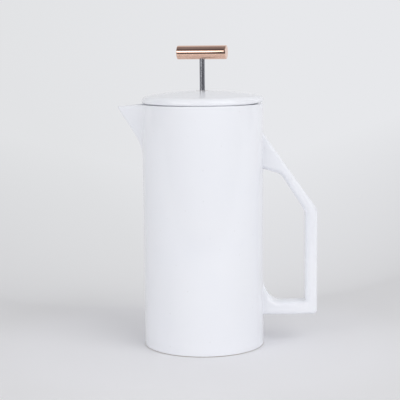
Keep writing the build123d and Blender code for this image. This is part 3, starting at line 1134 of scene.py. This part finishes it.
def pale_floor():
    made, tree, place = new_material("pale_paper_floor")
    radius = add(tree, "ShaderNodeVectorMath", {0: place}, operation="LENGTH").outputs["Value"]
    # Painted shade: a darker ring of paper between the two radii round the pot.
    ring = add(
        tree,
        "ShaderNodeMapRange",
        {"Value": radius, "From Min": SHADE_RING_FROM, "From Max": SHADE_RING_TO},
        interpolation_type="SMOOTHSTEP",
    )
    colour = add(
        tree,
        "ShaderNodeMixRGB",
        {"Fac": ring.outputs["Result"], "Color1": linear(FLOOR_NEAR), "Color2": linear(FLOOR_PAINTED_SHADE)},
    )
    paper = add(tree, "ShaderNodeBsdfDiffuse", {"Color": colour.outputs["Color"]})
    outward = add(tree, "ShaderNodeVectorMath", {0: place}, operation="NORMALIZE").outputs["Vector"]
    far = add(tree, "ShaderNodeEmission", {"Color": distance_colour(tree, outward)})
    mixed = add(
        tree,
        "ShaderNodeMixShader",
        {0: floor_fade(tree, place, radius), 1: paper.outputs["BSDF"], 2: far.outputs["Emission"]},
    )
    add(tree, "ShaderNodeOutputMaterial", {"Surface": mixed.outputs["Shader"]})
    return made


def build_floor():
    """A wide disc. The lathe leaves a small hole in its middle, which is the only one with short edges."""
    disc = lathe("floor", [(r, 0) for r in FLOOR_RINGS])
    work = bmesh.new()
    work.from_mesh(disc.data)
    hole = [e for e in work.edges if e.is_boundary and e.calc_length() < HOLE_EDGE]
    bmesh.ops.holes_fill(work, edges=hole)
    work.to_mesh(disc.data)
    work.free()
    disc.data.materials.append(pale_floor())
    return disc


floor = build_floor()
print("floor:", len(floor.data.polygons), "faces")

# %% [markdown]
# ## Light and room
# Soft light comes from all round, a little weaker from overhead than from the sides and a little weaker
# from the left than from the right. It is the world's own light, because a ring of lamps would leave many
# stripes in the glaze. A large lamp at the front right adds the slow shading and the soft shadow to the
# left. A bright panel at the front left is what the copper and the steel mirror as their white stripes.
# Polished metal looks like metal only if it has something dark to mirror too, so dark walls stand round
# the front, where only reflections can see them, under a grey ceiling that ends behind the press.

# %% World
WORLD_WHITE = "#FDFDFE"
HORIZON_LIGHT = 0.69
OVERHEAD_LIGHT = 0.59
OVERHEAD_SHOWN = 0.92
HORIZON_UP_TO, OVERHEAD_FROM = 0.05, 0.64
LEFT_SHARE, RIGHT_SHARE = 0.88, 1.08


def world_light(tree, axes):
    """How strong the light is and how bright the distance is shown, for each direction."""
    climb = {"Value": axes["Z"], "From Min": HORIZON_UP_TO, "From Max": OVERHEAD_FROM}
    lit = add(tree, "ShaderNodeMapRange", {**climb, "To Min": HORIZON_LIGHT, "To Max": OVERHEAD_LIGHT})
    shown = add(tree, "ShaderNodeMapRange", {**climb, "To Min": 1.0, "To Max": OVERHEAD_SHOWN})
    side = add(
        tree,
        "ShaderNodeMapRange",
        {"Value": axes["X"], "From Min": -1.0, "To Min": LEFT_SHARE, "To Max": RIGHT_SHARE},
    )
    shares = {0: lit.outputs["Result"], 1: side.outputs["Result"]}
    strength = add(tree, "ShaderNodeMath", shares, operation="MULTIPLY")
    return strength.outputs["Value"], shown.outputs["Result"]


def soft_world():
    """A world that lights the press, and shows the pale distance to the camera and to reflections."""
    world = bpy.data.worlds.new("soft_studio")
    world.use_nodes = True
    tree = world.node_tree
    tree.nodes.clear()
    ray = add(tree, "ShaderNodeLightPath").outputs
    mirrored = add(
        tree,
        "ShaderNodeMath",
        {0: ray["Is Glossy Ray"], 1: ray["Is Transmission Ray"]},
        operation="MAXIMUM",
    ).outputs["Value"]
    looked_at = add(tree, "ShaderNodeMath", {0: ray["Is Camera Ray"], 1: mirrored}, operation="MAXIMUM")
    direction = add(tree, "ShaderNodeTexCoord").outputs["Generated"]
    axes = add(tree, "ShaderNodeSeparateXYZ", {"Vector": direction}).outputs
    strength, shown = world_light(tree, axes)
    light = add(tree, "ShaderNodeBackground", {"Color": linear(WORLD_WHITE), "Strength": strength})
    pale = distance_colour(tree, direction)
    seen = add(tree, "ShaderNodeBackground", {"Color": pale, "Strength": shown})
    mixed = add(
        tree,
        "ShaderNodeMixShader",
        {0: looked_at.outputs["Value"], 1: light.outputs["Background"], 2: seen.outputs["Background"]},
    )
    add(tree, "ShaderNodeOutputWorld", {"Surface": mixed.outputs["Shader"]})
    return world


bpy.context.scene.world = soft_world()
print("world strength from", OVERHEAD_LIGHT, "overhead to", HORIZON_LIGHT)

# %% Lamps
AIM = Vector((0, 0, 0.1))


def area_lamp(name, azimuth, elevation, distance, size, power):
    """A soft lamp that looks at the press. Azimuth 0 is at the camera, and 90 is at the right."""
    data = bpy.data.lights.new(name, "AREA")
    data.shape = "RECTANGLE"
    data.size, data.size_y = size
    data.energy = power
    a, e = math.radians(azimuth), math.radians(elevation)
    toward = Vector((math.sin(a) * math.cos(e), -math.cos(a) * math.cos(e), math.sin(e)))
    lamp = put_in_scene(name, data)
    lamp.location = AIM + toward * distance
    lamp.rotation_euler = toward.to_track_quat("Z", "Y").to_euler()
    lamp.visible_camera = False
    return lamp


key = area_lamp("key_lamp", azimuth=42, elevation=34, distance=1.6, size=(1.2, 1.2), power=7.5)
panel = area_lamp("bright_panel", azimuth=-41, elevation=18.5, distance=1.3, size=(0.75, 0.55), power=2.8)
print("lamps:", key.name, panel.name)

# %% Glow of the studio walls
WALL_DARK = "#5B5A5F"
CEILING_DARK = "#6A696E"
CEILING_GREY = "#929197"
GLOW_FROM, GLOW_TO = -1.5, -0.4


def studio_glow(name, front, back):
    """A wall that only glows, in one colour towards the camera's side and another towards the press."""
    made, tree, place = new_material(name)
    depth = add(tree, "ShaderNodeSeparateXYZ", {"Vector": place}).outputs["Y"]
    share = add(tree, "ShaderNodeMapRange", {"Value": depth, "From Min": GLOW_FROM, "From Max": GLOW_TO})
    colour = add(
        tree,
        "ShaderNodeMixRGB",
        {"Fac": share.outputs["Result"], "Color1": linear(front), "Color2": linear(back)},
    )
    glow = add(tree, "ShaderNodeEmission", {"Color": colour.outputs["Color"]})
    add(tree, "ShaderNodeOutputMaterial", {"Surface": glow.outputs["Emission"]})
    return made


print("walls glow in", WALL_DARK, "and the ceiling from", CEILING_DARK, "to", CEILING_GREY)

# %% Dark room for the reflections
ROOM_R = 2.5
ROOM_H = 2.5
ROOM_TURN = math.radians(110)
ROOM_STEPS = 45
ROOM_FLOOR = 0.5 * MM
TABLE_EDGE = 0.44
CEILING_BACK = 1.06


def dark_room():
    """The floor beyond the table's front edge and the walls round the front half."""
    points = []
    for turn in np.linspace(-ROOM_TURN, ROOM_TURN, ROOM_STEPS):
        edge = TABLE_EDGE / max(math.cos(turn), TABLE_EDGE / ROOM_R)
        for r, z in ((edge, ROOM_FLOOR), (ROOM_R, ROOM_FLOOR), (ROOM_R, ROOM_H)):
            points.append((r * math.sin(turn), -r * math.cos(turn), z))
    faces = []
    for a in range(0, len(points) - 3, 3):
        faces += [(a, a + 3, a + 4, a + 1), (a + 1, a + 4, a + 5, a + 2)]
    mesh = bpy.data.meshes.new("dark_room")
    mesh.from_pydata(points, [], faces)
    mesh.materials.append(studio_glow("dark_studio_wall", WALL_DARK, WALL_DARK))
    return put_in_scene("dark_room", mesh)


def grey_ceiling():
    """A sheet over the room that ends a little way behind the press."""
    corners = [(-ROOM_R, -ROOM_R), (ROOM_R, -ROOM_R), (ROOM_R, CEILING_BACK), (-ROOM_R, CEILING_BACK)]
    mesh = bpy.data.meshes.new("ceiling")
    mesh.from_pydata([(x, y, ROOM_H) for x, y in corners], [], [(0, 1, 2, 3)])
    mesh.materials.append(studio_glow("grey_studio_ceiling", CEILING_DARK, CEILING_GREY))
    return put_in_scene("ceiling", mesh)


def only_mirrored(sheet):
    """Shows a sheet to reflections only, so that it neither lights the press nor stands in the picture."""
    sheet.visible_camera = False
    sheet.visible_diffuse = False
    sheet.visible_shadow = False
    sheet.visible_transmission = False


room, ceiling = dark_room(), grey_ceiling()
for sheet in (room, ceiling):
    only_mirrored(sheet)
print("dark room:", len(room.data.polygons), "faces")

# %% [markdown]
# ## Camera
# The camera stands a little above the lid and looks slightly down, with a long lens, so the upright sides
# of the pot stay nearly parallel. It could be tracked to a point, but then it couldn't lean, and this one
# leans by half a degree. So its axes come from its yaw, pitch and roll, which were worked out from the
# edges of the press, as were its place and its lens.

# %% Camera
CAMERA_PLACE = Vector((0, -0.858, 0.222))
CAMERA_YAW = -0.0029
CAMERA_PITCH = 0.1307
CAMERA_ROLL = -0.0090
CAMERA_LENS = 103.7
CAMERA_SENSOR = 36
CAMERA_SEES = 200


def aim_camera():
    data = bpy.data.cameras.new("camera")
    data.lens = CAMERA_LENS
    data.sensor_width = CAMERA_SENSOR
    data.clip_end = CAMERA_SEES
    flat = math.cos(CAMERA_PITCH)
    forward = Vector((math.sin(CAMERA_YAW) * flat, math.cos(CAMERA_YAW) * flat, -math.sin(CAMERA_PITCH)))
    right = forward.cross(Vector((0, 0, 1))).normalized()
    up = right.cross(forward)
    c, s = math.cos(CAMERA_ROLL), math.sin(CAMERA_ROLL)
    axes = Matrix((right * c + up * s, up * c - right * s, -forward)).transposed()
    camera = put_in_scene("camera", data)
    camera.matrix_world = Matrix.Translation(CAMERA_PLACE) @ axes.to_4x4()
    bpy.context.scene.camera = camera
    return camera


camera = aim_camera()
bpy.context.scene.view_settings.view_transform = "Standard"
print("camera at", [round(c, 3) for c in camera.location])
